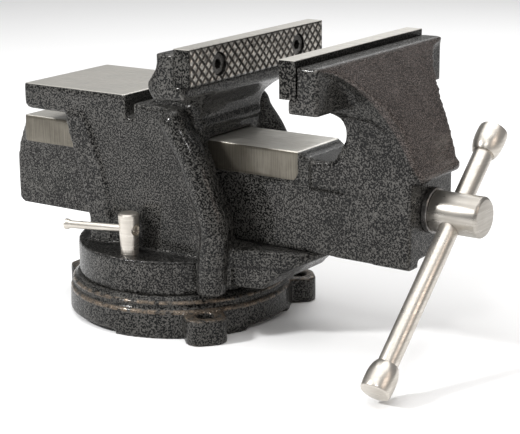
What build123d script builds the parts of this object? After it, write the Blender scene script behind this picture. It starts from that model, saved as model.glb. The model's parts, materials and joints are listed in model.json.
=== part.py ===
"""Bench vise on a swivel base: 150 mm jaws, sliding-beam pattern.

Frame: the origin is on the swivel axis at the underside of the base. +X runs along the slide from the
fixed jaw to the sliding jaw and the handle, +Y is across the jaws and +Z is up. Millimetres throughout.
The jaws are drawn half open. The upper works are drawn from a datum of their own, in front of the swivel
axis, and moved into the frame as they are saved; the base, the locks and the pivot are drawn in the frame.
"""
import os
from math import cos, sin, radians, sqrt

from build123d import *

# ---- driving dimensions -------------------------------------------------------------------------
jaw_length = 150.0            # along Y, the size the vise is sold by
jaw_opening = 63.5            # between the gripping faces as drawn
plate_thickness = 12.3
plate_height = 23.3
plate_bottom = 164.8          # height of the plates' lower edge
fixed_face_x = 57.6           # gripping face of the fixed jaw
screw_axis_z = 90.0

datum_x = 10.6                # the upper works' drawing datum, seen from the frame's origin
datum_z = 3.6

base_radius = 76.0            # round skirt of the base
base_height = 27.1
lug_hole_circle_radius = 81.5
lug_half_width = 13.5
lug_reach = 93.0
lug_height = 17.0
lug_angles = (-42, 42, 180)
lug_hole_radius = 5.5
foot_angles = (-53, 53, 180)

disc_radius = 69.0            # turntable at the foot of the body
disc_bottom = 27.2
disc_top = 49.7
lock_circle_radius = 54.6     # the lock bolts ride on this circle

body_half_width = 43.0
neck_half_width = 34.0        # wall that carries the fixed jaw over the tunnel
neck_front_x = 34.0
shoulder_top = 143.5
anvil_half_width = 43.9
anvil_top = 148.5
anvil_end_x = -108.0

beam_tail_x = -136.5
rail_tail_x = -126.5
beam_half_width = 24.35       # over the ground rails
beam_rough_half_width = 22.85
beam_top = 121.3
beam_bottom = 57.0
rail_height = 18.8
rough_top = 117.6             # cast top of the beam beyond the ground rails
rail_end_x = 102.0
channel_half_width = 15.85    # the beam is an upside-down channel
channel_roof = 111.3
slide_gap = 0.3               # beam to tunnel, every side

web_half_width = 27.0         # middle wall of the sliding jaw
fan_radius = 54.0             # the jaws flare from web to full length on this radius
jaw_rear_x = 183.0            # flat rear face around the screw
front_wall_inner_x = 171.0

screw_radius = 10.0
screw_head_radius = 12.8
screw_head_start = 187.0
screw_head_end = 219.5
screw_tail_x = -108.0
handle_x = 200.0
handle_angle = 41.5           # above the horizontal, rising towards +Y
handle_radius = 6.25
handle_low_end = -129.0       # distances along the bar from the screw axis
handle_high_end = 66.0
knob_length = 20.0
knob_radius = 9.5

lock_bolt_radius = 6.75
lock_bolt_top = 76.6
lock_bar_radius = 2.6
lock_bar_z = 65.7
lock_bar_turn = 16.0          # plan angle of the near lock bar
lock_hole_radius = 4.3        # the bar is loose in its bolt
lock_hole_turn = -14.0        # the hole's plan angle, from the bar's
fit_gap = 0.05                # radial running clearance of shafts in their bores

os.makedirs("parts", exist_ok=True)
movable_face_x = fixed_face_x + jaw_opening
plate_top = plate_bottom + plate_height
half_length = jaw_length / 2
ledge_top = plate_top - 3.6   # casting ledges stand a little below the ground plate tops
plate_screw_offset = 44.5
plate_screw_z = plate_bottom + 10.7
tunnel_half_width = beam_half_width + slide_gap
tunnel_floor = beam_bottom - slide_gap
tunnel_roof = beam_top + slide_gap


def save(part, label, offset=(0, 0, 0)):
    """Label a finished piece, moved by the offset, and write its STEP file."""
    placed = Pos(*offset) * part
    placed.label = label
    export_step(placed, f"parts/{label}.step")


def save_upper(part, label):
    """Save a piece of the upper works, which is drawn from their datum."""
    save(part, label, (datum_x, 0, datum_z))


def fan_outline(plane, waist, waist_z, top):
    """Sketch on a YZ plane, `waist` wide each side at waist_z and flaring to the full jaw length."""
    centre_y = waist + fan_radius
    flare_z = waist_z + sqrt(fan_radius**2 - (centre_y - half_length) ** 2)
    mid_y = centre_y - fan_radius * cos(radians(40))
    mid_z = waist_z + fan_radius * sin(radians(40))
    with BuildSketch(plane) as outline:
        with BuildLine():
            ThreePointArc((waist, waist_z), (mid_y, mid_z), (half_length, flare_z))
            Polyline((half_length, flare_z), (half_length, top), (-half_length, top), (-half_length, flare_z))
            ThreePointArc((-half_length, flare_z), (-mid_y, mid_z), (-waist, waist_z))
            Polyline((-waist, waist_z), (-waist, 40), (waist, 40), (waist, waist_z))
        make_face()
    return outline.sketch


# ---- swivel base --------------------------------------------------------------------------------
slot_half_neck = 7.0          # T-slot for the lock nuts
slot_half_cavity = 11.0
slot_floor = 6.5
slot_lip = 16.5
hub_bore_radius = 6.0 + fit_gap
foot_relief = 2.6             # the skirt is relieved between the feet
hub_foot_radius = 20.0        # flat boss in the middle, level with the feet
hub_bore_bottom = 7.0

with BuildPart() as swivel_base:
    with BuildSketch(Plane.XZ):
        with BuildLine():
            Polyline((0, 0), (hub_foot_radius, 0), (hub_foot_radius, foot_relief), (base_radius, foot_relief),
                     (base_radius - 0.5, 17.2))
            ThreePointArc((base_radius - 0.5, 17.2), (base_radius - 0.9, 18.2), (base_radius - 1.8, 18.6))
            Spline((base_radius - 1.8, 18.6), (base_radius - 3.6, 19.9), (base_radius - 2.4, 21.9),
                   tangents=((-1, 0.1), (0.5, 1)))
            ThreePointArc((base_radius - 2.4, 21.9), (base_radius - 1.9, 23.2), (base_radius - 2.9, 24.0))
            Spline((base_radius - 2.9, 24.0), (disc_radius + 1.0, base_height), tangents=((-1, 0.4), (-0.5, 1)))
            Polyline((disc_radius + 1.0, base_height), (0, base_height), (0, 0))
        make_face()
    revolve(axis=Axis.Z)
    with BuildSketch(Plane.XY):
        for angle in lug_angles:
            with PolarLocations(lug_reach - 20, 1, start_angle=angle):
                RectangleRounded(40, 2 * lug_half_width, 9)
    extrude(amount=lug_height)
    with BuildSketch(Plane.XY):                              # three feet, one beside each lug
        Circle(base_radius)
        Circle(base_radius - 13, mode=Mode.SUBTRACT)
        with BuildSketch(mode=Mode.INTERSECT):
            for angle in foot_angles:
                with PolarLocations(base_radius - 6, 1, start_angle=angle):
                    Rectangle(60, 86)
    extrude(amount=foot_relief)
    with BuildSketch(Plane.XY):                              # hollow underside
        Circle(lock_circle_radius - slot_half_cavity - 6)
        Circle(hub_foot_radius, mode=Mode.SUBTRACT)
    extrude(amount=18, mode=Mode.SUBTRACT)
    with BuildSketch(Plane.XY.offset(base_height)):          # tapped bore for the pivot bolt
        Circle(hub_bore_radius)
    extrude(amount=hub_bore_bottom - base_height, mode=Mode.SUBTRACT)
    with BuildSketch(Plane.XZ):                              # circular T-slot
        with BuildLine():
            Polyline((lock_circle_radius - slot_half_neck, base_height + 1),
                     (lock_circle_radius - slot_half_neck, slot_lip),
                     (lock_circle_radius - slot_half_cavity, slot_lip),
                     (lock_circle_radius - slot_half_cavity, slot_floor),
                     (lock_circle_radius + slot_half_cavity, slot_floor),
                     (lock_circle_radius + slot_half_cavity, slot_lip),
                     (lock_circle_radius + slot_half_neck, slot_lip),
                     (lock_circle_radius + slot_half_neck, base_height + 1), close=True)
        make_face()
    revolve(axis=Axis.Z, mode=Mode.SUBTRACT)
    with BuildSketch(Plane.XY.offset(lug_height)):           # bolt holes in the lugs
        for angle in lug_angles:
            with PolarLocations(lug_hole_circle_radius, 1, start_angle=angle):
                Circle(lug_hole_radius)
    extrude(amount=-lug_height, mode=Mode.SUBTRACT)
save(swivel_base.part, "swivel_base")

# ---- vise body: turntable, trunk, anvil and fixed jaw in one casting ---------------------------
seat_x = fixed_face_x - plate_thickness                      # plate seat of the fixed jaw
chin_x = fixed_face_x - 6.0
rib_radius = 9.5
pivot_recess_radius = 11.5
pivot_recess_depth = 10.0
collar_half_width = body_half_width + 1.8
disc_low = disc_bottom - datum_z   # the turntable, seen from the upper works' datum
disc_high = disc_top - datum_z
tongue_bottom = 31.0


def rib_points(side):
    """Centre line of the S-shaped rib on one flank, top to bottom; side is +1 or -1 along Y."""
    return [(22.0, side * 44.5, 133.5), (33.5, side * 45.5, 117.0), (45.0, side * 46.5, 91.0),
            (53.5, side * 48.0, 69.0), (53.0, side * 49.5, 50.0), (52.0, side * 50.0, 27.0)]


with BuildPart() as vise_body:
    with BuildSketch(Plane.XZ.offset(-half_length)):         # flaring neck between trunk and jaw head
        with BuildLine():
            back = Spline((-8, 138), (4, 150), (24.5, 160), tangents=((0.2, 1), (1, 0.8)))
            Polyline(back @ 1, (chin_x, 160), (chin_x, 156))
            throat = Spline((chin_x, 156), (39.0, 147), (neck_front_x, 136), tangents=((-0.8, -0.6), (0, -1)))
            Polyline(throat @ 1, (neck_front_x, 118), (-8, 118), (-8, 138))
        make_face()
    extrude(amount=jaw_length)
    extrude(fan_outline(Plane.YZ.offset(-20), neck_half_width, 129.0, 200.0), amount=100,
            mode=Mode.INTERSECT)

    with BuildSketch(Plane.XZ.offset(-half_length)):         # jaw head
        with BuildLine():
            Polyline((chin_x, 156), (chin_x, plate_bottom), (seat_x, plate_bottom), (seat_x, ledge_top),
                     (31, ledge_top), (31, 177))
            Spline((31, 177), (23.5, 163.5), (28, 154.5), tangents=((-0.35, -1), (0.8, -1)))
            Line((28, 154.5), (chin_x, 156))
        make_face()
    extrude(amount=jaw_length)

    with BuildSketch(Plane.XY.offset(disc_low)):             # turntable
        with Locations((-datum_x, 0)):
            Circle(disc_radius)
    extrude(amount=disc_high - disc_low)

    with BuildSketch(Plane.XZ.offset(-body_half_width)):     # trunk: two cheeks with S-shaped front edges
        with BuildLine():
            rear = Spline((-71, 131), (-66, 110), (-55, 72), (-53, 45), tangents=((0.1, -1), (0, -1)))
            Line(rear @ 1, (53, 45))
            front = Spline([(53, 45)] + [(x, z) for x, y, z in reversed(rib_points(1)[:4])],
                           tangents=((0, 1), (-0.5, 1)))
            Polyline(front @ 1, (22, shoulder_top), (-14, shoulder_top), (-14, 136))
            ThreePointArc((-14, 136), (-17, 133), (-20, 136))
            Polyline((-20, 136), (-20, 140), (-71, 140), (-71, 131))
        make_face()
    extrude(amount=2 * body_half_width)
    with BuildSketch(Plane.XY.offset(118)):                  # shoulders run in to the neck's front corners
        with BuildLine():
            Polyline((22, body_half_width), (neck_front_x, neck_half_width), (neck_front_x, -neck_half_width),
                     (22, -body_half_width), close=True)
        make_face()
    extrude(amount=shoulder_top - 118)

    with BuildSketch(Plane.XZ.offset(-anvil_half_width)):    # anvil
        with BuildLine():
            Polyline((-20, 131), (-20, anvil_top), (anvil_end_x, anvil_top), (anvil_end_x, 134.5),
                     (-104.5, 131), (-20, 131))
        make_face()
    extrude(amount=2 * anvil_half_width)
    with BuildSketch(Plane.XZ.offset(-30)):                  # web under the anvil's overhang
        with BuildLine():
            Polyline((-66, 131), (-98, 131), (-66, 122), (-66, 131))
        make_face()
    extrude(amount=60)

    with BuildSketch(Plane.XY.offset(tongue_bottom)):        # tongue that carries the beam in front
        with BuildLine():
            side = Line((40, 41.5), (64, 41.5))
            taper = Line(side @ 1, (106, 29))
            nose = ThreePointArc(taper @ 1, (118, 0), (106, -29))
            Polyline(nose @ 1, (64, -41.5), (40, -41.5), (40, 41.5))
        make_face()
    extrude(amount=tunnel_floor - tongue_bottom)
    with BuildSketch(Plane.XZ.offset(-60)):                  # its underside sweeps up to the nose
        with BuildLine():
            sweep_up = Spline((82, tongue_bottom), (97, 43.5), (119, 54.5), tangents=((0.9, 1), (1, 0.45)))
            Polyline(sweep_up @ 1, (130, 54.5), (130, tongue_bottom), (82, tongue_bottom))
        make_face()
    extrude(amount=120, mode=Mode.SUBTRACT)

    with BuildSketch(Plane.XZ.offset(2 - neck_half_width)):  # bead over the tunnel's mouth
        with Locations((neck_front_x - 1.6, 131.5)):
            Circle(3.4)
    extrude(amount=2 * neck_half_width - 4)

    for side_sign in (-1, 1):                                # ribs, each with a round head
        with BuildLine(Plane.XY) as rib_line:
            Spline(rib_points(side_sign), tangents=((0.5, 0, -1), (0, 0, -1)))
        with BuildSketch(Plane(origin=rib_line.line @ 0, z_dir=rib_line.line % 0)):
            Circle(rib_radius)
        sweep(path=rib_line.line)
        with Locations(rib_line.line @ 0):
            Sphere(rib_radius + 0.8)
    with BuildSketch(Plane.XZ.offset(-collar_half_width)):   # rear collars of the tunnel
        with BuildLine():
            outer = Spline((-71, 131), (-66, 110), (-55, 72), (-53, 45), tangents=((0.1, -1), (0, -1)))
            Line(outer @ 1, (-36, 45))
            inner = Spline((-36, 45), (-38, 82), (-44, 103), (-55, 131), tangents=((0, 1), (-0.4, 1)))
            Line(inner @ 1, (-71, 131))
        make_face()
    extrude(amount=2 * collar_half_width)

    with BuildSketch(Plane.YZ.offset(-90)):                  # tunnel for the beam
        with BuildLine():
            Polyline((tunnel_half_width, tunnel_floor), (tunnel_half_width, tunnel_roof),
                     (-tunnel_half_width, tunnel_roof), (-tunnel_half_width, tunnel_floor), close=True)
        make_face()
    extrude(amount=220, mode=Mode.SUBTRACT)
    with BuildSketch(Plane.YZ.offset(seat_x)):               # seat of the jaw plate
        with Locations((0, plate_bottom + 20)):
            Rectangle(jaw_length + 2, 40)
    extrude(amount=plate_thickness + 5, mode=Mode.SUBTRACT)
    with Locations((seat_x, -plate_screw_offset, plate_screw_z), (seat_x, plate_screw_offset, plate_screw_z)):
        Cylinder(4.02, 24, rotation=(0, 90, 0), mode=Mode.SUBTRACT)
    with BuildSketch(Plane.XY.offset(disc_low)):             # pivot bolt hole with a recess for its head
        with Locations((-datum_x, 0)):
            Circle(hub_bore_radius)
    extrude(amount=tunnel_floor - disc_low, mode=Mode.SUBTRACT)
    with BuildSketch(Plane.XY.offset(tunnel_floor)):
        with Locations((-datum_x, 0)):
            Circle(pivot_recess_radius)
    extrude(amount=-pivot_recess_depth, mode=Mode.SUBTRACT)
    with BuildSketch(Plane.XY.offset(disc_low)):             # lock bolt holes
        with Locations((-datum_x, -lock_circle_radius), (-datum_x, lock_circle_radius)):
            Circle(6.0 + fit_gap)
    extrude(amount=disc_high - disc_low + 2, mode=Mode.SUBTRACT)
    with BuildSketch(Plane.XY.offset(tunnel_floor)):         # tapped holes for the nut's screws
        with Locations((-32, 0), (37, 0)):
            Circle(4.02)
    extrude(amount=-16, mode=Mode.SUBTRACT)
save_upper(vise_body.part, "vise_body")

# ---- sliding jaw: beam, web, flaring rear wall and jaw head in one casting ----------------------
head_back_x = 147.8
sliding_chin_x = movable_face_x + 6.0
sliding_seat_x = movable_face_x + plate_thickness

with BuildPart() as sliding_jaw:
    with BuildSketch(Plane.XZ.offset(-half_length)):         # rear wall, seen from the side
        with BuildLine():
            rear = Spline((head_back_x, ledge_top), (165, 163), (jaw_rear_x + 2, 124), (jaw_rear_x + 4.5, 112),
                          tangents=((0.75, -1), (0.2, -1)))
            Polyline(rear @ 1, (jaw_rear_x, 112), (jaw_rear_x, 123))
            under = Spline((jaw_rear_x, 123), (170, 139), (151, 148), tangents=((-0.35, 1), (-1, 0.1)))
            Polyline(under @ 1, (sliding_chin_x, 149), (sliding_chin_x, ledge_top), (head_back_x, ledge_top))
        make_face()
    extrude(amount=jaw_length)
    extrude(fan_outline(Plane.YZ.offset(100), web_half_width, 129.0, 200.0), amount=110,
            mode=Mode.INTERSECT)

    with BuildSketch(Plane.XZ.offset(-half_length)):         # jaw head
        with BuildLine():
            Polyline((sliding_chin_x, 156), (sliding_chin_x, plate_bottom), (sliding_seat_x, plate_bottom),
                     (sliding_seat_x, ledge_top), (head_back_x, ledge_top), (head_back_x, 156), close=True)
        make_face()
    extrude(amount=jaw_length)

    with BuildSketch(Plane.XZ.offset(-web_half_width)):      # web with its C-shaped throat
        with BuildLine():
            throat = Spline((sliding_chin_x, 149), (137.5, 134.0), (131.0, 121.5), (112, rough_top),
                            tangents=((1, -0.35), (-1, -0.05)))
            Polyline(throat @ 1, (112, 100), (jaw_rear_x, 100), (jaw_rear_x, 123))
            Spline((jaw_rear_x, 123), (165, 160), (150, 170), tangents=((-0.1, 1), (-1, 0.8)))
            Polyline((150, 170), (sliding_chin_x, 170), (sliding_chin_x, 149))
        make_face()
    extrude(amount=2 * web_half_width)
    with BuildSketch(Plane.XZ.offset(-beam_rough_half_width)):   # beam, rough cast
        with BuildLine():
            Polyline((rail_tail_x, rough_top), (jaw_rear_x, rough_top), (jaw_rear_x, beam_bottom),
                     (beam_tail_x + 5, beam_bottom))
            ThreePointArc((beam_tail_x + 5, beam_bottom), (beam_tail_x + 1.5, beam_bottom + 1.5),
                          (beam_tail_x, beam_bottom + 6))
            Spline((beam_tail_x, beam_bottom + 6), (beam_tail_x + 2.5, 100), (rail_tail_x, rough_top),
                   tangents=((0.0, 1), (0.5, 1)))
        make_face()
    extrude(amount=2 * beam_rough_half_width)
    with BuildSketch(Plane.XY.offset(beam_bottom)):          # it widens to the rear wall
        with BuildLine():
            Polyline((107, beam_rough_half_width), (jaw_rear_x, web_half_width), (jaw_rear_x, -web_half_width),
                     (107, -beam_rough_half_width), close=True)
        make_face()
    extrude(amount=rough_top - beam_bottom)
    with BuildSketch(Plane.XZ.offset(-beam_half_width)):     # ground rails along the beam's top
        with BuildLine():
            Polyline((rail_tail_x, beam_top), (rail_end_x, beam_top), (rail_end_x + 5, rough_top),
                     (rail_end_x - 4, beam_top - rail_height), (rail_tail_x, beam_top - rail_height),
                     close=True)
        make_face()
    extrude(amount=2 * beam_half_width)

    with BuildSketch(Plane.XZ.offset(-24)):                  # bead across the rear face
        with Locations((jaw_rear_x + 3.4, 114.5)):
            Circle(3.8)
    extrude(amount=48)

    with BuildSketch(Plane.YZ.offset(beam_tail_x - 2)):      # channel under the beam
        with BuildLine():
            Polyline((channel_half_width, beam_bottom - 1), (channel_half_width, channel_roof - 6))
            ThreePointArc((channel_half_width, channel_roof - 6), (channel_half_width - 1.76, channel_roof - 1.76),
                          (channel_half_width - 6, channel_roof))
            Line((channel_half_width - 6, channel_roof), (6 - channel_half_width, channel_roof))
            ThreePointArc((6 - channel_half_width, channel_roof), (1.76 - channel_half_width, channel_roof - 1.76),
                          (-channel_half_width, channel_roof - 6))
            Polyline((-channel_half_width, channel_roof - 6), (-channel_half_width, beam_bottom - 1),
                     (channel_half_width, beam_bottom - 1))
        make_face()
    extrude(amount=front_wall_inner_x - beam_tail_x + 2, mode=Mode.SUBTRACT)
    with BuildSketch(Plane.YZ.offset(front_wall_inner_x - 1)):   # end wall stops short of the side walls
        with Locations((0, beam_bottom + 1)):
            Rectangle(2 * channel_half_width, 6)
    extrude(amount=20, mode=Mode.SUBTRACT)
    with BuildSketch(Plane.YZ.offset(front_wall_inner_x - 5)):   # screw bore
        with Locations((0, screw_axis_z)):
            Circle(screw_radius + fit_gap)
    extrude(amount=30, mode=Mode.SUBTRACT)
    with BuildSketch(Plane.YZ.offset(sliding_seat_x)):       # seat of the jaw plate
        with Locations((0, plate_bottom + 20)):
            Rectangle(jaw_length + 2, 40)
    extrude(amount=-plate_thickness - 5, mode=Mode.SUBTRACT)
    with Locations((sliding_seat_x, -plate_screw_offset, plate_screw_z),
                   (sliding_seat_x, plate_screw_offset, plate_screw_z)):
        Cylinder(4.02, 24, rotation=(0, 90, 0), mode=Mode.SUBTRACT)
save_upper(sliding_jaw.part, "sliding_jaw")

# ---- jaw plates and their screws ----------------------------------------------------------------
screw_recess_radius = 7.4
screw_recess_depth = 7.0
socket_size = 6.0             # across flats


def jaw_plate(face_x, face_sign):
    """One hardened jaw plate; face_sign is +1 when its gripping face looks along +X."""
    with BuildPart() as plate:
        with BuildSketch(Plane.YZ.offset(face_x - face_sign * plate_thickness / 2)):
            with Locations((0, plate_bottom + plate_height / 2)):
                Rectangle(jaw_length, plate_height)
        extrude(amount=plate_thickness / 2, both=True)
        chamfer(plate.edges().filter_by(Axis.Z), length=0.6)
        with Locations((face_x, -plate_screw_offset, plate_screw_z), (face_x, plate_screw_offset, plate_screw_z)):
            Cylinder(4.5, 2 * plate_thickness + 2, rotation=(0, 90, 0), mode=Mode.SUBTRACT)
            Cylinder(screw_recess_radius, 2 * screw_recess_depth, rotation=(0, 90, 0), mode=Mode.SUBTRACT)
    return plate.part


def plate_screws(face_x, face_sign):
    """The two socket screws of one plate, heads sunk under the gripping face."""
    head_top = face_x - face_sign * 1.6
    head_seat = face_x - face_sign * screw_recess_depth
    shank_end = face_x - face_sign * (plate_thickness + 10.5)
    with BuildPart() as screws:
        for y in (-plate_screw_offset, plate_screw_offset):
            with BuildSketch(Plane.YZ.offset(head_seat)):
                with Locations((y, plate_screw_z)):
                    Circle(6.6)
            extrude(amount=head_top - head_seat)
            with BuildSketch(Plane.YZ.offset(head_seat)):
                with Locations((y, plate_screw_z)):
                    Circle(4.0)
            extrude(amount=shank_end - head_seat)
            with BuildSketch(Plane.YZ.offset(head_top)):
                with Locations((y, plate_screw_z)):
                    RegularPolygon(socket_size / 2, 6, major_radius=False)
            extrude(amount=-face_sign * 3.4, mode=Mode.SUBTRACT)
    return screws.part


save_upper(jaw_plate(fixed_face_x, 1), "fixed_jaw_plate")
save_upper(jaw_plate(movable_face_x, -1), "sliding_jaw_plate")
save_upper(plate_screws(fixed_face_x, 1), "fixed_plate_screws")
save_upper(plate_screws(movable_face_x, -1), "sliding_plate_screws")

# ---- lead screw, its nut and the parts that hold it in the sliding jaw --------------------------
pin_x = 150.0
washer_thickness = 2.5
washer_start = pin_x + 2.6
spring_wire = 1.3             # wire radius
spring_coil_radius = 12.2
handle_plane = Plane(origin=(handle_x, 0, screw_axis_z), x_dir=(1, 0, 0),
                     z_dir=(0, cos(radians(handle_angle)), sin(radians(handle_angle))))

with BuildPart() as lead_screw:
    with BuildSketch(Plane.YZ.offset(screw_tail_x)):
        with Locations((0, screw_axis_z)):
            Circle(screw_radius)
    extrude(amount=screw_head_start - screw_tail_x + 1)
    chamfer(lead_screw.faces().sort_by(Axis.X)[0].edges(), length=2)
    with BuildSketch(Plane.YZ.offset(screw_head_start)):
        with Locations((0, screw_axis_z)):
            Circle(screw_head_radius)
    extrude(amount=screw_head_end - screw_head_start)
    chamfer(lead_screw.faces().sort_by(Axis.X)[-1].edges(), length=1.6)
    with BuildSketch(handle_plane.offset(-20)):
        Circle(handle_radius + 0.1)
    extrude(amount=40, mode=Mode.SUBTRACT)
    with Locations((pin_x, 0, screw_axis_z)):
        Cylinder(2.02, 30, mode=Mode.SUBTRACT)
save_upper(lead_screw.part, "lead_screw")

with BuildPart() as thrust_collar:
    with BuildSketch(Plane.YZ.offset(jaw_rear_x + 0.1)):
        with Locations((0, screw_axis_z)):
            Circle(14.2)
            Circle(screw_radius + 0.15, mode=Mode.SUBTRACT)
    extrude(amount=screw_head_start - jaw_rear_x - 0.2)
    chamfer(thrust_collar.edges().filter_by(lambda e: e.length > 80), length=0.5)
save_upper(thrust_collar.part, "thrust_collar")

with BuildPart() as split_pin:
    with Locations((pin_x, 0, screw_axis_z - 0.5)):
        Cylinder(2.0, 27)
    with Locations((pin_x, 0, screw_axis_z + 12.5)):
        Sphere(2.4)
save_upper(split_pin.part, "split_pin")

with BuildPart() as spring_washer:
    with BuildSketch(Plane.YZ.offset(washer_start)):
        with Locations((0, screw_axis_z)):
            Circle(14.0)
            Circle(screw_radius + 0.2, mode=Mode.SUBTRACT)
    extrude(amount=washer_thickness)
save_upper(spring_washer.part, "spring_washer")

spring_start = washer_start + washer_thickness
spring_length = front_wall_inner_x - spring_start
with BuildPart() as screw_spring:
    with BuildLine():
        coil = Helix(pitch=(spring_length - 2 * spring_wire - 0.8) / 3, radius=spring_coil_radius,
                     height=spring_length - 2 * spring_wire - 0.8,
                     center=(spring_start + spring_wire + 0.4, 0, screw_axis_z), direction=(1, 0, 0))
    with BuildSketch(Plane(origin=coil @ 0, z_dir=coil % 0)):
        Circle(spring_wire)
    sweep(path=coil, is_frenet=True)
save_upper(screw_spring.part, "screw_spring")

with BuildPart() as main_nut:
    with BuildSketch(Plane.YZ.offset(-22)):
        with BuildLine():
            Polyline((-15, screw_axis_z), (-15, tunnel_floor), (15, tunnel_floor), (15, screw_axis_z))
            ThreePointArc((15, screw_axis_z), (0, screw_axis_z + 15), (-15, screw_axis_z))
        make_face()
    extrude(amount=49)
    with BuildSketch(Plane.XY.offset(tunnel_floor)):         # feet for the two holding screws
        with Locations((2.5, 0)):
            Rectangle(92, 30)
    extrude(amount=9)
    fillet(main_nut.edges().filter_by(Axis.Z).group_by(Axis.X)[0], radius=6)
    fillet(main_nut.edges().filter_by(Axis.Z).group_by(Axis.X)[-1], radius=6)
    with BuildSketch(Plane.YZ.offset(-60)):
        with Locations((0, screw_axis_z)):
            Circle(screw_radius + fit_gap)
    extrude(amount=130, mode=Mode.SUBTRACT)
    with BuildSketch(Plane.XY.offset(tunnel_floor)):
        with Locations((-32, 0), (37, 0)):
            Circle(4.4)
    extrude(amount=10, mode=Mode.SUBTRACT)
save_upper(main_nut.part, "main_nut")

with BuildPart() as nut_screws:
    for x in (-32, 37):
        with BuildSketch(Plane.XY.offset(tunnel_floor + 9)):
            with Locations((x, 0)):
                Circle(6.5)
                RegularPolygon(3, 6, major_radius=False, mode=Mode.SUBTRACT)
        extrude(amount=7.5)
        with BuildSketch(Plane.XY.offset(tunnel_floor + 9.0 + 2.0)):
            with Locations((x, 0)):
                Circle(4.0)
        extrude(amount=-24)
save_upper(nut_screws.part, "nut_screws")

# ---- handle: bar with a knob pressed on each end ------------------------------------------------
with BuildPart() as handle_bar:
    with BuildSketch(handle_plane.offset(handle_low_end + 2)):
        Circle(handle_radius)
    extrude(amount=handle_high_end - handle_low_end - 4)
save_upper(handle_bar.part, "handle_bar")


def handle_knob(end_distance, direction):
    """Barrel-shaped knob; direction is +1 at the upper end of the bar."""
    seat = Plane(origin=handle_plane.origin + handle_plane.z_dir * (end_distance - direction * knob_length),
                 x_dir=(1, 0, 0), z_dir=handle_plane.z_dir * direction)
    with BuildPart() as knob:
        with BuildSketch(Plane.XZ):
            with BuildLine():
                Polyline((0, 0), (handle_radius + 1.0, 0), (handle_radius + 1.4, 1.5))
                Spline((handle_radius + 1.4, 1.5), (knob_radius, 12.5), (knob_radius - 1.2, knob_length - 1.2),
                       tangents=((0.45, 1), (-0.35, 1)))
                Polyline((knob_radius - 1.2, knob_length - 1.2), (knob_radius - 2.4, knob_length),
                         (0, knob_length), (0, 0))
            make_face()
        revolve(axis=Axis.Z)
        with BuildSketch(Plane.XY):
            Circle(handle_radius)
        extrude(amount=knob_length - 2, mode=Mode.SUBTRACT)
    return seat.location * knob.part


save_upper(handle_knob(handle_high_end, 1), "handle_knob_upper")
save_upper(handle_knob(handle_low_end, -1), "handle_knob_lower")

# ---- swivel locks: bolt, T-bar and slot nut, near and far ---------------------------------------
bar_reach = 46.0


def lock_plane(turn):
    """Upright plane at one lock bolt, X along its T-bar; turn is the bolt's angle about the swivel."""
    at = (lock_circle_radius * cos(radians(turn)), lock_circle_radius * sin(radians(turn)), 0)
    bar_angle = radians(turn + 90 + lock_bar_turn)
    return Plane(origin=at, x_dir=(cos(bar_angle), sin(bar_angle), 0), z_dir=(0, 0, 1))


def lock_bolt(turn):
    at = lock_plane(turn)
    with BuildPart() as bolt:
        with BuildSketch(at.offset(disc_top + 0.1)):
            Circle(lock_bolt_radius)
        extrude(amount=lock_bolt_top - disc_top - 0.1)
        chamfer(bolt.faces().sort_by(Axis.Z)[-1].edges(), length=0.9)
        with BuildSketch(at.offset(slot_floor + 1.5)):
            Circle(6.0)
        extrude(amount=disc_top - slot_floor)
        hole_axis = at.x_dir.rotate(Axis.Z, lock_hole_turn)
        with BuildSketch(Plane(origin=at.origin + Vector(0, 0, lock_bar_z), z_dir=hole_axis)):
            Circle(lock_hole_radius)
        extrude(amount=12, both=True, mode=Mode.SUBTRACT)
    return bolt.part


def lock_bar(turn):
    at = lock_plane(turn)
    axis_start = at.origin + Vector(0, 0, lock_bar_z) - at.x_dir * bar_reach
    with BuildPart() as bar:
        with BuildSketch(Plane(origin=axis_start, z_dir=at.x_dir)):
            Circle(lock_bar_radius)
        extrude(amount=bar_reach + 3.5)
        with BuildSketch(Plane(origin=axis_start, z_dir=at.x_dir)):
            Circle(lock_bar_radius + 0.9)
        extrude(amount=4.5, taper=9)
        chamfer(bar.faces().sort_by(Axis(axis_start, at.x_dir))[0].edges(), length=0.5)
    return bar.part


def lock_nut(turn):
    at = lock_plane(turn)
    radial = Plane(origin=at.origin, x_dir=(cos(radians(turn)), sin(radians(turn)), 0), z_dir=(0, 0, 1))
    with BuildPart() as nut:
        with BuildSketch(radial.offset(slot_floor + 0.5)):
            Rectangle(2 * slot_half_cavity - 2.4, 20)
            Circle(6.02, mode=Mode.SUBTRACT)
        extrude(amount=slot_lip - slot_floor - 1.0)
        chamfer(nut.edges().filter_by(Axis.Z).filter_by(lambda e: e.length < 12)
                .filter_by(GeomType.LINE), length=1.5)
    return nut.part


for side_name, turn in (("near", -90), ("far", 90)):
    save(lock_bolt(turn), f"lock_bolt_{side_name}")
    save(lock_bar(turn), f"lock_bar_{side_name}")
    save(lock_nut(turn), f"lock_nut_{side_name}")

# ---- pivot bolt: goes down through the trunk's floor into the base ------------------------------
washer_bottom = tunnel_floor + datum_z - pivot_recess_depth + 0.05
pivot_head_seat = washer_bottom + 2.3

with BuildPart() as pivot_bolt:
    with BuildSketch(Plane.XY.offset(hub_bore_bottom + 1)):
        Circle(6.0)
    extrude(amount=pivot_head_seat - hub_bore_bottom)
    with BuildSketch(Plane.XY.offset(pivot_head_seat + 0.05)):
        Circle(9.0)
    extrude(amount=6.5)
    chamfer(pivot_bolt.faces().sort_by(Axis.Z)[-1].edges(), length=0.8)
    with BuildSketch(Plane.XY.offset(pivot_head_seat + 6.55)):
        RegularPolygon(5, 6, major_radius=False)
    extrude(amount=-4, mode=Mode.SUBTRACT)
save(pivot_bolt.part, "pivot_bolt")

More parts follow.
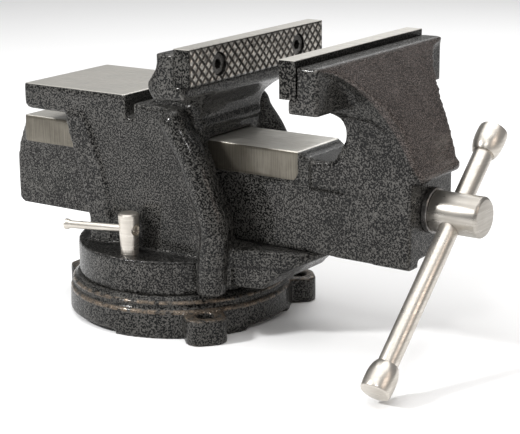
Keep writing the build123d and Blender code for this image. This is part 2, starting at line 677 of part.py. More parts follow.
with BuildPart() as pivot_washer:
    with BuildSketch(Plane.XY.offset(washer_bottom)):
        Circle(10.5)
        Circle(6.3, mode=Mode.SUBTRACT)
    extrude(amount=pivot_head_seat - washer_bottom)
save(pivot_washer.part, "pivot_washer")
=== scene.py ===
"""Looks of the bench vise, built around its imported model.

Metres throughout: +X along the slide towards the handle, +Y across the jaws, +Z up the swivel axis.
Castings are softened copies of the CAD castings, steel parts are turned or cut here, and the hidden
hardware keeps its CAD shape with a finish of its own.
"""
import json
from math import cos, pi, radians, sin, sqrt, tau

import bmesh
import bpy
from mathutils import Matrix, Vector
from mathutils.geometry import interpolate_bezier


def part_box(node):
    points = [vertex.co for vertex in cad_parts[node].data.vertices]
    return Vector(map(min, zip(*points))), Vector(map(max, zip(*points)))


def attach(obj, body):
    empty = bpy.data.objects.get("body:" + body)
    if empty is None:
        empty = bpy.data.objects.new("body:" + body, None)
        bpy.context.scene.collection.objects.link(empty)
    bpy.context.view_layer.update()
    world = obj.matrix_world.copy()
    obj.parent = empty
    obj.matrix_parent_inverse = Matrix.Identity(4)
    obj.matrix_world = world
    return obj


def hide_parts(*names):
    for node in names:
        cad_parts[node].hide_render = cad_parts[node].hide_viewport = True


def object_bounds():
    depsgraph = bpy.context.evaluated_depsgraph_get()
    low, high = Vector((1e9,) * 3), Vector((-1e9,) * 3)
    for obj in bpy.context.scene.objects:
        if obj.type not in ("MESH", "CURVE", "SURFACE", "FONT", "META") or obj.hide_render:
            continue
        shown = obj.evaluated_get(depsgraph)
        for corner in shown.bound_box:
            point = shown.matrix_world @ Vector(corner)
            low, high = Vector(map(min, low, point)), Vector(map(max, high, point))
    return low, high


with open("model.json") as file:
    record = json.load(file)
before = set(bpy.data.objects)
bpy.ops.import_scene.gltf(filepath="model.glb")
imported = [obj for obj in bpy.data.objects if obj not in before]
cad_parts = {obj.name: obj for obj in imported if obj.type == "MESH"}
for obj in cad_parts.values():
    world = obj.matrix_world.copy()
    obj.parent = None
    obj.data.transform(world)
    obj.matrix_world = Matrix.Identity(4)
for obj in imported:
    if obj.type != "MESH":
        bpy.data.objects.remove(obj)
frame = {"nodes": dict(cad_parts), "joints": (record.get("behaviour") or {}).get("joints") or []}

bl_info = {
    "name": "Bench vise looks",
    "version": (1, 0, 0),
    "blender": (4, 5, 0),
    "location": "3D View > Sidebar > Vise",
    "description": "Castings, ground steel, knurled jaws, screw, handle and locks of a swivel bench vise",
    "category": "Object",
}

CAD_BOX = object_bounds()
JOINTS = {joint["name"]: joint for joint in frame["joints"]}
SCREW_CENTRE = Vector(JOINTS["screw_turn"]["pos_m"])       # where the handle crosses the screw's axis
SCREW_AXIS = Vector(JOINTS["screw_turn"]["axis"])
HANDLE_AXIS = Vector(JOINTS["handle_slide"]["axis"])
UP = Vector((0, 0, 1))
MERGE_DISTANCE = 1e-6
SHARP_ANGLE = radians(32)


# ---- mesh helpers -------------------------------------------------------------------------------
def add_object(name, bm, smooth=True):
    """Puts a bmesh into the scene as a finished object whose place is in its mesh."""
    mesh = bpy.data.meshes.new(name)
    bm.to_mesh(mesh)
    bm.free()
    obj = bpy.data.objects.new(name, mesh)
    bpy.context.scene.collection.objects.link(obj)
    if smooth:
        mesh.shade_smooth()
        mesh.set_sharp_from_angle(angle=SHARP_ANGLE)
    return obj


def apply_modifiers(obj):
    """Replaces the object's mesh by what its modifiers make of it."""
    bpy.context.view_layer.update()
    graph = bpy.context.evaluated_depsgraph_get()
    made = bpy.data.meshes.new_from_object(obj.evaluated_get(graph))
    obj.modifiers.clear()
    old = obj.data
    obj.data = made
    made.name = obj.name
    bpy.data.meshes.remove(old)
    return obj


def cut(obj, cutter):
    """Takes the cutter's space out of the object and removes the cutter."""
    boolean = obj.modifiers.new("cut", "BOOLEAN")
    boolean.operation = "DIFFERENCE"
    boolean.solver = "EXACT"
    boolean.object = cutter
    apply_modifiers(obj)
    bpy.data.objects.remove(cutter)
    obj.data.set_sharp_from_angle(angle=SHARP_ANGLE)
    return obj


def standing_on(origin, axis):
    """Matrix that takes local Z to the axis and the local origin to the given point."""
    turn = Vector(axis).normalized().to_track_quat("Z", "X").to_matrix().to_4x4()
    return Matrix.Translation(origin) @ turn


def turned_bmesh(profile, origin, axis, segments=72, soften=0.0, soften_steps=3):
    """Closed body of revolution; the profile is (distance along the axis, radius) from end to end."""
    bm = bmesh.new()
    points = [bm.verts.new((radius, 0, distance)) for distance, radius in profile]
    lines = [bm.edges.new(pair) for pair in zip(points, points[1:])]
    bmesh.ops.spin(bm, geom=points + lines, cent=(0, 0, 0), axis=(0, 0, 1), angle=tau,
                   steps=segments, use_merge=True)
    bmesh.ops.remove_doubles(bm, verts=bm.verts, dist=MERGE_DISTANCE)
    bmesh.ops.recalc_face_normals(bm, faces=bm.faces)
    if soften:
        rings = [e for e in bm.edges if len(e.link_faces) == 2 and e.calc_face_angle() > radians(22)]
        bmesh.ops.bevel(bm, geom=rings, offset=soften, offset_type="OFFSET", segments=soften_steps,
                        profile=0.5, affect="EDGES", material=-1, clamp_overlap=True)
    bmesh.ops.transform(bm, matrix=standing_on(origin, axis), verts=bm.verts)
    return bm


def turned(name, profile, origin, axis, **options):
    return add_object(name, turned_bmesh(profile, origin, axis, **options))


def drill(obj, origin, axis, radius, reach):
    """Cuts a round hole centred on the origin, as far as reach each way along the axis."""
    profile = [(-reach, 0), (-reach, radius), (reach, radius), (reach, 0)]
    return cut(obj, turned("drill", profile, origin, axis, segments=48))


def node_span(node, origin, axis):
    """(lowest distance, highest distance, radius) that a CAD node has about an axis through origin."""
    axis = Vector(axis).normalized()
    reach = [(v.co - origin) for v in frame["nodes"][node].data.vertices]
    along = [r.dot(axis) for r in reach]
    radius = max((r - axis * d).length for r, d in zip(reach, along))
    return min(along), max(along), radius


def piece(obj, body, slot_name, finish, *nodes):
    """Gives a finished piece its body and finish, and hides the CAD nodes it stands for."""
    obj.data.materials.clear()
    obj.data.materials.append(finish)
    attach(obj, body)
    if nodes:
        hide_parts(*nodes)
    return obj


def keep_cad_shape(finish, *names):
    """Gives CAD nodes that stay in view a finish of their own."""
    for name in names:
        materials = frame["nodes"][name].data.materials
        materials.clear()
        materials.append(finish)


# ---- node helpers -------------------------------------------------------------------------------
def node(tree, kind, inputs=None, **settings):
    """Adds a shader node; each input is a value or the socket that feeds it."""
    made = tree.nodes.new(kind)
    for key, value in settings.items():
        setattr(made, key, value)
    for key, value in (inputs or {}).items():
        if isinstance(value, bpy.types.NodeSocket):
            tree.links.new(value, made.inputs[key])
        else:
            made.inputs[key].default_value = value
    return made


def math(tree, operation, first, second=0.0, clamp=False):
    return node(tree, "ShaderNodeMath", {0: first, 1: second}, operation=operation,
                use_clamp=clamp).outputs[0]


def blend(tree, amount, first, second):
    """Colour mix: the first colour at 0, the second at 1."""
    return node(tree, "ShaderNodeMix", {0: amount, 6: first, 7: second}, data_type="RGBA").outputs[2]


def ramp(tree, value, low, high, to_low=0.0, to_high=1.0, smooth=True):
    """Maps a value from the range low..high to to_low..to_high, held at the ends."""
    kind = "SMOOTHSTEP" if smooth else "LINEAR"
    return node(tree, "ShaderNodeMapRange", {0: value, 1: low, 2: high, 3: to_low, 4: to_high},
                interpolation_type=kind, clamp=True).outputs[0]


def mix_values(tree, amount, first, second):
    """Value mix: the first value at 0, the second at 1."""
    return node(tree, "ShaderNodeMix", {0: amount, 2: first, 3: second}).outputs[0]


def object_coordinates(tree):
    return node(tree, "ShaderNodeTexCoord").outputs["Object"]


def noise(tree, scale, detail=2.0, place=None, **shape):
    """Noise at so many lumps per metre, on Object coordinates or on a place of its own."""
    inputs = {"Vector": place or object_coordinates(tree), "Scale": scale, "Detail": detail, **shape}
    return node(tree, "ShaderNodeTexNoise", inputs).outputs[0]


def group_tree(name, inputs, outputs):
    """Starts a shader node group; inputs are (name, socket type, default), outputs (name, type)."""
    tree = bpy.data.node_groups.new(name, "ShaderNodeTree")
    for label, kind, default in inputs:
        tree.interface.new_socket(label, in_out="INPUT", socket_type=kind).default_value = default
    for label, kind in outputs:
        tree.interface.new_socket(label, in_out="OUTPUT", socket_type=kind)
    return tree, tree.nodes.new("NodeGroupInput").outputs, tree.nodes.new("NodeGroupOutput")


def feed(tree, exit_node, **values):
    """Wires sockets to a group's outputs by name, with _ for a space."""
    for label, socket in values.items():
        tree.links.new(socket, exit_node.inputs[label.replace("_", " ")])


def use_group(tree, group, **inputs):
    """Places a shared effect in a material, with _ for a space in its input names."""
    made = tree.nodes.new("ShaderNodeGroup")
    made.node_tree = group
    for label, value in inputs.items():
        socket = made.inputs[label.replace("_", " ")]
        if isinstance(value, bpy.types.NodeSocket):
            tree.links.new(value, socket)
        else:
            socket.default_value = value
    return made.outputs


FLOAT, COLOUR, VECTOR = "NodeSocketFloat", "NodeSocketColor", "NodeSocketVector"


def hammertone_group():
    """Hammered paint: a fine labyrinth of pale ridges and dark hollows, with slow patches of tone."""
    name = "hammertone_paint"
    if name in bpy.data.node_groups:
        return bpy.data.node_groups[name]
    tree, given, result = group_tree(
        name,
        [("Spot Size", FLOAT, 0.0019), ("Dark", COLOUR, (0.01, 0.01, 0.01, 1)),
         ("Light", COLOUR, (0.09, 0.09, 0.09, 1)), ("Coverage", FLOAT, 0.5)],
        [("Color", COLOUR), ("Roughness", FLOAT), ("Metallic", FLOAT), ("Height", FLOAT)])
    per_metre = math(tree, "DIVIDE", 1.0, given["Spot Size"])
    ridges = noise(tree, per_metre, 1.3, Roughness=0.45, Distortion=0.35)
    patches = noise(tree, 60.0)
    drift = math(tree, "MULTIPLY", math(tree, "SUBTRACT", patches, 0.5), 0.16)
    middle = math(tree, "ADD", math(tree, "SUBTRACT", 1.0, given["Coverage"]), drift)
    raised = ramp(tree, ridges, math(tree, "SUBTRACT", middle, 0.06), math(tree, "ADD", middle, 0.13))
    feed(tree, result,
         Color=blend(tree, raised, given["Dark"], given["Light"]),
         Roughness=ramp(tree, raised, 0.0, 1.0, 0.36, 0.25),
         Metallic=ramp(tree, raised, 0.0, 1.0, 0.05, 0.35),
         Height=raised)
    return tree


def edge_wear_and_sheen_group():
    """Mask of convex edges, broken up by noise: paint worn thin there, together with a painted highlight
    where light would catch the edge.
    """
    name = "edge_wear"
    if name in bpy.data.node_groups:
        return bpy.data.node_groups[name]
    tree, given, result = group_tree(
        name, [("Threshold", FLOAT, 0.53), ("Spread", FLOAT, 0.05), ("Amount", FLOAT, 1.0)],
        [("Mask", FLOAT)])
    sharpness = node(tree, "ShaderNodeNewGeometry").outputs["Pointiness"]
    edges = ramp(tree, sharpness, given["Threshold"],
                 math(tree, "ADD", given["Threshold"], given["Spread"]))
    broken = ramp(tree, noise(tree, 320.0, 4.0), 0.42, 0.62)
    feed(tree, result, Mask=math(tree, "MULTIPLY", math(tree, "MULTIPLY", edges, broken),
                                 given["Amount"], clamp=True))
    return tree


def machined_group():
    """Fine tool lines on ground or turned steel; Lines Vector runs fast across the lines."""
    name = "machined_steel"
    if name in bpy.data.node_groups:
        return bpy.data.node_groups[name]
    tree, given, result = group_tree(
        name,
        [("Lines Vector", VECTOR, (0, 0, 0)), ("Pale", COLOUR, (0.6, 0.6, 0.6, 1)),
         ("Deep", COLOUR, (0.3, 0.3, 0.3, 1)), ("Smooth", FLOAT, 0.28), ("Rough", FLOAT, 0.42)],
        [("Color", COLOUR), ("Roughness", FLOAT), ("Height", FLOAT)])
    lines = noise(tree, 1.0, 3.0, place=given["Lines Vector"], Roughness=0.6)
    stains = noise(tree, 70.0, 4.0)
    tone = math(tree, "ADD", math(tree, "MULTIPLY", lines, 0.6), math(tree, "MULTIPLY", stains, 0.4))
    amount = ramp(tree, tone, 0.36, 0.64)
    feed(tree, result,
         Color=blend(tree, amount, given["Pale"], given["Deep"]),
         Roughness=node(tree, "ShaderNodeMapRange", {0: amount, 3: given["Smooth"],
                                                     4: given["Rough"]}).outputs[0],
         Height=lines)
    return tree


def start_material(name):
    """(material, its tree, its Principled BSDF) for a new finish."""
    made = bpy.data.materials.new(name)
    made.use_nodes = True
    tree = made.node_tree
    tree.nodes.clear()
    shader = tree.nodes.new("ShaderNodeBsdfPrincipled")
    surface = tree.nodes.new("ShaderNodeOutputMaterial")
    tree.links.new(shader.outputs[0], surface.inputs["Surface"])
    return made, tree, shader


def bump(tree, shader, height, distance, strength=1.0):
    relief = node(tree, "ShaderNodeBump", {"Height": height, "Distance": distance, "Strength": strength})
    tree.links.new(relief.outputs[0], shader.inputs["Normal"])


def stretched(tree, across, slow=40.0, turn=(0, 0, 0)):
    """Object coordinates scaled so that noise becomes lines; across holds lines per metre on x, y, z."""
    scale = tuple(value or slow for value in across)
    return node(tree, "ShaderNodeMapping", {"Vector": object_coordinates(tree), "Rotation": turn,
                                            "Scale": scale}).outputs[0]


def zone(tree, **limits):
    """Mask that is 1 between limits, each (low, high, soft edge).

    They are on x, y or z, on absy for both sides alike, or on slant for the sliding jaw's sloping back.
    """
    split = node(tree, "ShaderNodeSeparateXYZ", {0: object_coordinates(tree)})
    sources = {"x": split.outputs[0], "y": split.outputs[1], "z": split.outputs[2],
               "absy": math(tree, "ABSOLUTE", split.outputs[1]),
               "slant": math(tree, "ADD", split.outputs[0],
                             math(tree, "MULTIPLY", split.outputs[2], REAR_SLOPE))}
    mask = None
    for axis, (low, high, soft) in limits.items():
        inside = math(tree, "MULTIPLY", ramp(tree, sources[axis], low - soft, low + soft),
                      ramp(tree, sources[axis], high - soft, high + soft, 1.0, 0.0))
        mask = inside if mask is None else math(tree, "MULTIPLY", mask, inside)
    return mask


FAR_AWAY = 9.0                # a limit that nothing reaches
REAR_SLOPE = 0.577            # how far the sliding jaw's back leans, along X per height
PAINT_EDGE = 0.00025          # how softly bare steel gives way to paint
WEAR_AND_SHEEN_SPREAD = 0.06            # from the edge mask's start to its full strength, in pointiness; the mask marks worn paint and painted edge highlight
WORN_SHINE = -0.06            # what the edge mask of worn paint and painted highlight takes off the paint's roughness
GROUND_LINES = 900.0          # grinding lines per metre on flat tops
RAIL_LINES = 1900.0           # milling lines per metre on the rails' sides
GROUND_RELIEF = 0.00004
GROUND_METALLIC = 0.85
SOOT_RELIEF = 0.00008
SATIN_RELIEF = 0.000004
STEEL_METALLIC = 0.92
PAINT_GLOSS = {"Specular IOR Level": 0.10, "Coat Weight": 0.22, "Coat Roughness": 0.10}


def sheen_and_worn_band(tree, limits):
    """Mask of a ledge with a painted highlight along it, broken in patches as if worn."""
    return math(tree, "MULTIPLY", zone(tree, **limits), ramp(tree, noise(tree, 240.0, 4.0), 0.36, 0.60))


def paint_coat(tree, spot=None, dark=None, light=None):
    """Hammertone paint in the set colours and grain, or in others."""
    paint = bpy.context.scene.vise_paint
    return use_group(tree, hammertone_group(), Spot_Size=spot or paint.spot_size,
                     Dark=(*(dark or paint.dark), 1), Light=(*(light or paint.light), 1),
                     Coverage=paint.coverage)


def painted_casting(name, zones, wear_and_sheen_colour, wear_and_sheen_amount, wear_and_sheen_threshold, sheen_and_worn_bands=(), patch=None):
    """Hammertone paint with bright convex edges: worn paint there, together with a painted highlight.

    zones lists the parts ground bare, as (limits, lines per metre on x, y and z, whether it is a rail's
    side, whose steel is darkened with painted shade). Each ledge in the ledge list gets a painted
    highlight broken in patches like worn primer, and patch is (limits, spot size, dark, light, share) for
    a part whose
    paint is recoloured: painted shade on the turntable top, painted warm light on the sliding jaw's back.
    """
    if name in bpy.data.materials:
        return bpy.data.materials[name]
    paint = bpy.context.scene.vise_paint
    steel = bpy.context.scene.vise_steel
    made, tree, shader = start_material(name)
    coat = paint_coat(tree)
    coat_colour = coat["Color"]
    # A patch recolours the paint over part of the casting; the castings use it for painted shade and for
    # painted warm light.
    if patch:
        limits, spot, dark, light, share = patch
        other = paint_coat(tree, spot, dark, light)
        coat_colour = blend(tree, math(tree, "MULTIPLY", zone(tree, **limits), share), coat_colour,
                            other["Color"])
    # Bright edge colour: paint worn on convex edges, and also a painted highlight standing in for light
    # catching them.
    wear_and_sheen = use_group(tree, edge_wear_and_sheen_group(), Threshold=wear_and_sheen_threshold, Spread=WEAR_AND_SHEEN_SPREAD,
                     Amount=wear_and_sheen_amount)["Mask"]
    # Ledge bands: a painted highlight along the base's bead and skirt edge, broken in patches like worn
    # primer.
    for limits in sheen_and_worn_bands:
        wear_and_sheen = math(tree, "MAXIMUM", wear_and_sheen, math(tree, "MULTIPLY", sheen_and_worn_band(tree, limits), wear_and_sheen_amount))
    colour = blend(tree, wear_and_sheen, coat_colour, (*wear_and_sheen_colour, 1))
    shine = ramp(tree, wear_and_sheen, 0.0, 1.0, 0.0, WORN_SHINE, smooth=False)
    rough = math(tree, "ADD", coat["Roughness"], shine)
    metal = math(tree, "MAXIMUM", coat["Metallic"], wear_and_sheen)
    height = math(tree, "MULTIPLY", coat["Height"], paint.relief)
    for limits, across, side in zones:
        # Rail sides take darker steel than the tops: painted shade on the same bare steel.
        pale, deep = ((steel.shaded_rail_side_pale, steel.shaded_rail_side_deep) if side
                      else (steel.ground_pale, steel.ground_deep))
        bare = zone(tree, **limits)
        ground = use_group(tree, machined_group(), Lines_Vector=stretched(tree, across),
                           Pale=(*pale, 1), Deep=(*deep, 1), Smooth=0.34, Rough=0.5)
        relief = math(tree, "MULTIPLY", ground["Height"], GROUND_RELIEF)
        colour = blend(tree, bare, colour, ground["Color"])
        rough = mix_values(tree, bare, rough, ground["Roughness"])
        metal = mix_values(tree, bare, metal, GROUND_METALLIC)
        height = mix_values(tree, bare, height, relief)
    for socket, value in PAINT_GLOSS.items():
        shader.inputs[socket].default_value = value
    tree.links.new(colour, shader.inputs["Base Color"])
    tree.links.new(rough, shader.inputs["Roughness"])
    tree.links.new(metal, shader.inputs["Metallic"])
    bump(tree, shader, height, 1.0)
    return made


def steel_finish(name, pale, deep, across, smooth=0.26, rough=0.4, turn=(0, 0, 0), relief=0.00002):
    """Machined steel of one tone with fine lines."""
    if name in bpy.data.materials:
        return bpy.data.materials[name]
    made, tree, shader = start_material(name)
    shader.inputs["Metallic"].default_value = STEEL_METALLIC
    ground = use_group(tree, machined_group(), Lines_Vector=stretched(tree, across, turn=turn),
                       Pale=(*pale, 1), Deep=(*deep, 1), Smooth=smooth, Rough=rough)
    tree.links.new(ground["Color"], shader.inputs["Base Color"])
    tree.links.new(ground["Roughness"], shader.inputs["Roughness"])
    bump(tree, shader, math(tree, "MULTIPLY", ground["Height"], relief), 1.0)
    return made


def satin_finish(name, turn=(0, 0, 0), share=1.0):
    """Satin steel of the handle, screw and locks, with lines square to Z, or to X when turned; share
    darkens it."""
    steel = bpy.context.scene.vise_steel
    pale, deep = (tuple(share * value for value in tone)
                  for tone in (steel.satin_pale, steel.satin_deep))
    return steel_finish(name, pale, deep, (0, 0, GROUND_LINES), smooth=0.27, rough=0.38, turn=turn,
                        relief=SATIN_RELIEF)


# ---- what a user would change -------------------------------------------------------------------
def colour_property(name, description, default):
    return bpy.props.FloatVectorProperty(name=name, description=description, subtype="COLOR", size=3,
                                         min=0.0, max=1.0, default=default)


def length_property(name, description, default):
    return bpy.props.FloatProperty(name=name, description=description, default=default, unit="LENGTH")


class VisePaint(bpy.types.PropertyGroup):
    """Hammertone paint and the softened skin of the castings."""
    dark: colour_property("Hollows", "Colour between the raised spots", (0.0022, 0.0022, 0.0020))
    light: colour_property("Spots", "Colour of the raised spots", (0.088, 0.085, 0.079))
    # Edge colours: worn paint, and also a painted highlight on the edges.
    wear_and_sheen_grey: colour_property("Rubbed paint", "Edges of the body and jaw", (0.24, 0.23, 0.215))
    wear_and_sheen_bronze: colour_property("Rubbed primer", "Edges of the base", (0.21, 0.165, 0.125))
    spot_size: length_property("Spot size", "Width of one raised spot", 0.00105)
    coverage: bpy.props.FloatProperty(name="Spot coverage", description="How far the spots spread",
                                      default=0.50, min=0.0, max=1.0, subtype="FACTOR")
    relief: length_property("Relief", "Height of the raised spots", 0.00019)
    base_voxel: length_property("Base grain", "Mesh size on the base casting", 0.00115)
    body_voxel: length_property("Body grain", "Mesh size on the body casting", 0.0016)
    jaw_voxel: length_property("Jaw grain", "Mesh size on the sliding casting", 0.0016)


class ViseSteel(bpy.types.PropertyGroup):
    """Colours of the bare and bright steel."""
    ground_pale: colour_property("Ground steel, pale", "Tops of the anvil and rails", (0.68, 0.66, 0.61))
    ground_deep: colour_property("Ground steel, deep", "Tops of the anvil and rails", (0.50, 0.48, 0.44))
    # Rail sides: the tops' bare steel, darkened with painted shade.
    shaded_rail_side_pale: colour_property("Rail sides, pale", "Milled sides of the rails", (0.16, 0.146, 0.12))
    shaded_rail_side_deep: colour_property("Rail sides, deep", "Milled sides of the rails", (0.10, 0.09, 0.072))
    satin_pale: colour_property("Satin steel, pale", "Handle, screw head and locks", (0.64, 0.605, 0.55))
    satin_deep: colour_property("Satin steel, deep", "Handle, screw head and locks", (0.53, 0.495, 0.445))


class ViseJaws(bpy.types.PropertyGroup):
    """Cross-cut teeth of the jaw plates."""
    pitch: length_property("Tooth pitch", "Distance between neighbouring teeth", 0.0050)
    groove: length_property("Groove width", "Width of a groove at the face", 0.0028)
    depth: length_property("Groove depth", "Depth of the grooves", 0.0009)


class ViseScrew(bpy.types.PropertyGroup):
    """Lead screw and handle."""
    thread_pitch: length_property("Thread pitch", "Travel of one turn", 0.005)
    thread_depth: length_property("Thread depth", "Crest to root", 0.0025)
    thread_end: length_property("Thread end", "Where the plain shank starts, along X", 0.1506)


class ViseStage(bpy.types.PropertyGroup):
    """Camera, floor and lights."""
    azimuth: bpy.props.FloatProperty(name="Azimuth", description="Camera angle round the vise",
                                     default=radians(34.59), unit="ROTATION")
    elevation: bpy.props.FloatProperty(name="Elevation", description="Camera angle above the floor",
                                       default=radians(15.0), unit="ROTATION")
    roll: bpy.props.FloatProperty(name="Roll", description="Camera tilt", default=radians(-0.6),
                                  unit="ROTATION")
    distance: bpy.props.FloatProperty(name="Distance", description="Camera to target", default=1.04993,
                                      unit="LENGTH")
    target: bpy.props.FloatVectorProperty(name="Target", description="Point the camera looks at", size=3,
                                          default=(0.06649, 0.0, 0.07085), subtype="TRANSLATION")
    lens: bpy.props.FloatProperty(name="Lens", description="Focal length in millimetres on a 36 mm sensor",
                                  default=110.45)
    floor: colour_property("Floor", "Plain floor", (0.93, 0.93, 0.93))
    key_power: bpy.props.FloatProperty(name="Overhead light", default=37.0, unit="POWER",
                                       description="Power of the overhead light; the others follow it")
    surround: bpy.props.FloatProperty(name="Surround", description="Brightness of the plain surroundings",
                                      default=0.27, min=0.0)


# ---- castings -----------------------------------------------------------------------------------
SKIN_SMOOTHING = 3            # passes over the remeshed skin


def casting(name, cad_node, voxel):
    """A softened copy of one CAD casting, with the rounded corners of moulded iron."""
    bm = bmesh.new()
    bm.from_mesh(frame["nodes"][cad_node].data)
    bmesh.ops.remove_doubles(bm, verts=bm.verts, dist=MERGE_DISTANCE)
    obj = add_object(name, bm, smooth=False)
    remesh = obj.modifiers.new("skin", "REMESH")
    remesh.mode = "VOXEL"
    remesh.voxel_size = voxel
    remesh.use_smooth_shade = True
    soft = obj.modifiers.new("soften", "SMOOTH")
    soft.factor = 0.5
    soft.iterations = SKIN_SMOOTHING
    return apply_modifiers(obj)


class ViseOperator:
    """What every piece operator shares."""
    bl_options = {"REGISTER", "UNDO"}

    @classmethod
    def poll(cls, context):
        return context.scene is not None


class VISE_OT_base_casting(ViseOperator, bpy.types.Operator):
    """Swivel base with its bead, skirt and bolt lugs"""
    bl_idname = "vise.base_casting"
    bl_label = "Base casting"

    def execute(self, context):
        paint = context.scene.vise_paint
        # Painted highlight along the bead's crest and the skirt's top edge, broken in patches like worn
        # bronze primer.
        bead = {"z": (0.0224, 0.0243, 0.0005)}
        skirt_edge = {"z": (0.0164, 0.0187, 0.0005)}
        finish = painted_casting("hammertone_base", [], paint.wear_and_sheen_bronze, 0.7, 0.52,
                                 sheen_and_worn_bands=[bead, skirt_edge])
        obj = casting("base_casting", "swivel_base", paint.base_voxel)
        piece(obj, "base", "cast_base", finish, "swivel_base")
        return {"FINISHED"}


class VISE_OT_body_casting(ViseOperator, bpy.types.Operator):
    """Turntable, trunk with its ribs, anvil and fixed jaw"""
    bl_idname = "vise.body_casting"
    bl_label = "Body casting"

    def execute(self, context):
        paint = context.scene.vise_paint
        anvil_skin, anvil_front = 0.1517, -0.0089
        anvil_top = {"z": (anvil_skin, FAR_AWAY, PAINT_EDGE), "x": (-FAR_AWAY, anvil_front, PAINT_EDGE)}
        zones = [(anvil_top, (0, GROUND_LINES, 0), False)]
        # Painted shade: the spots on the turntable's top are dimmed to darken it, standing in for the dark
        # reflection it shows.
        turntable_top = {"z": (0.0478, 0.0502, 0.0004)}
        turntable_shade_patch = (turntable_top, paint.spot_size, paint.dark, (0.035, 0.034, 0.033), 0.8)
        finish = painted_casting("hammertone_body", zones, paint.wear_and_sheen_grey, 0.6, 0.525, patch=turntable_shade_patch)
        obj = casting("body_casting", "vise_body", paint.body_voxel)
        piece(obj, "body", "cast_body", finish, "vise_body")
        return {"FINISHED"}


class VISE_OT_jaw_casting(ViseOperator, bpy.types.Operator):
    """Sliding beam, web, rear wall and moving jaw"""
    bl_idname = "vise.jaw_casting"
    bl_label = "Sliding jaw casting"

    def execute(self, context):
        paint = context.scene.vise_paint
        rail_top, rail_bottom, rail_side, rail_end = 0.1249, 0.1061, 0.02435, 0.1131
        rail_end_edge = 0.0008
        # The rails' sides are bare steel coloured darker than their tops: painted shade.
        sides = {"absy": (rail_side - 0.0006, FAR_AWAY, PAINT_EDGE),
                 "x": (-FAR_AWAY, rail_end - 0.001, rail_end_edge),
                 "z": (rail_bottom, rail_top + 0.001, PAINT_EDGE)}
        tops = {"z": (rail_top - 0.0005, rail_top + 0.0012, PAINT_EDGE),
                "x": (-FAR_AWAY, rail_end, rail_end_edge),
                "absy": (-FAR_AWAY, rail_side + 0.001, PAINT_EDGE)}
        zones = [(sides, (RAIL_LINES, 0, 0), True), (tops, (0, GROUND_LINES, 0), False)]
        # Painted warm light: the sliding jaw's sloping back gets paler, warmer hollows and spots, as if
        # lit from the side; its finer grain is the paint's own.
        sloping_back = {"slant": (0.2668, FAR_AWAY, 0.0008)}
        sloping_back_light_patch = (sloping_back, 0.00075, (0.022, 0.018, 0.016), (0.15, 0.125, 0.115), 0.9)
        finish = painted_casting("hammertone_jaw", zones, paint.wear_and_sheen_grey, 0.6, 0.525, patch=sloping_back_light_patch)
        obj = casting("jaw_casting", "sliding_jaw", paint.jaw_voxel)
        piece(obj, "slide", "cast_jaw", finish, "sliding_jaw")
        return {"FINISHED"}


# ---- jaw plates ---------------------------------------------------------------------------------
def knurled_plate(name, cad_node, facing):
    """Jaw plate with cross-cut teeth on its gripping face; facing is +1 when that looks along +X."""
    jaws = bpy.context.scene.vise_jaws
    low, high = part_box(cad_node)
    half_y, half_z = (high.y - low.y) / 2, (high.z - low.z) / 2
    centre = (low + high) / 2
    face_x = high.x if facing > 0 else low.x
    half_grid = (half_y + half_z) / sqrt(2) + jaws.pitch
    segments = round(2 * half_grid / jaws.pitch)
    bm = bmesh.new()
    bmesh.ops.create_grid(bm, x_segments=segments, y_segments=segments, size=half_grid,
                          matrix=Matrix.Rotation(pi / 4, 4, "Z"))
    for normal, reach in (((1, 0, 0), half_z), ((-1, 0, 0), half_z),
                          ((0, 1, 0), half_y), ((0, -1, 0), half_y)):
        bmesh.ops.bisect_plane(bm, geom=bm.verts[:] + bm.edges[:] + bm.faces[:], dist=MERGE_DISTANCE,
                               plane_co=Vector(normal) * reach, plane_no=normal, clear_outer=True)
    rim = [e for e in bm.edges if e.is_boundary]
    walls = bmesh.ops.extrude_edge_only(bm, edges=rim)["geom"]
    back = [v for v in walls if isinstance(v, bmesh.types.BMVert)]
    bmesh.ops.translate(bm, verts=back, vec=(0, 0, -(high.x - low.x) + jaws.depth))
    bmesh.ops.contextual_create(bm, geom=[e for e in bm.edges if e.is_boundary])
    smallest_tooth = 0.3 * jaws.pitch**2        # slivers at the rim stay uncut
    teeth = [f for f in bm.faces if abs(f.normal.z) > 0.9 and f.calc_center_median().z > -jaws.depth
             and f.calc_area() > smallest_tooth]
    bmesh.ops.inset_individual(bm, faces=teeth, thickness=jaws.groove / 2, depth=jaws.depth,
                               use_even_offset=True)
    bmesh.ops.recalc_face_normals(bm, faces=bm.faces)
    turn = Matrix(((0, 0, facing, 0), (0, facing, 0, 0), (-1, 0, 0, 0), (0, 0, 0, 1)))
    place = Matrix.Translation((face_x - facing * jaws.depth, centre.y, centre.z)) @ turn
    bmesh.ops.transform(bm, matrix=place, verts=bm.verts)
    if place.determinant() < 0:
        bmesh.ops.reverse_faces(bm, faces=bm.faces)
    return add_object(name, bm)


class VISE_OT_jaw_plates(ViseOperator, bpy.types.Operator):
    """Knurled jaw plates and their sunk screws"""
    bl_idname = "vise.jaw_plates"
    bl_label = "Jaw plates"

    def execute(self, context):
        head_clearance, recess_depth = 0.0008, 0.007
        finish = tooth_finish("jaw_plate_steel")
        black = steel_finish("screw_black", (0.13, 0.125, 0.118), (0.05, 0.048, 0.045), (800.0,) * 3)
        for side, body, facing in (("fixed", "body", 1), ("sliding", "slide", -1)):
            cad_plate = f"{side}_jaw_plate"
            obj = knurled_plate(f"{side}_plate_knurled", cad_plate, facing)
            low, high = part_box(f"{side}_plate_screws")
            height = (low.z + high.z) / 2
            face_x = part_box(cad_plate)[1 if facing > 0 else 0].x
            head_radius = (high.z - low.z) / 2
            for y in (low.y + head_radius, high.y - head_radius):
                drill(obj, Vector((face_x, y, height)), SCREW_AXIS, head_radius + head_clearance,
                      recess_depth)
            piece(obj, body, "jaw_steel", finish, cad_plate)
            keep_cad_shape(black, f"{side}_plate_screws")
        return {"FINISHED"}


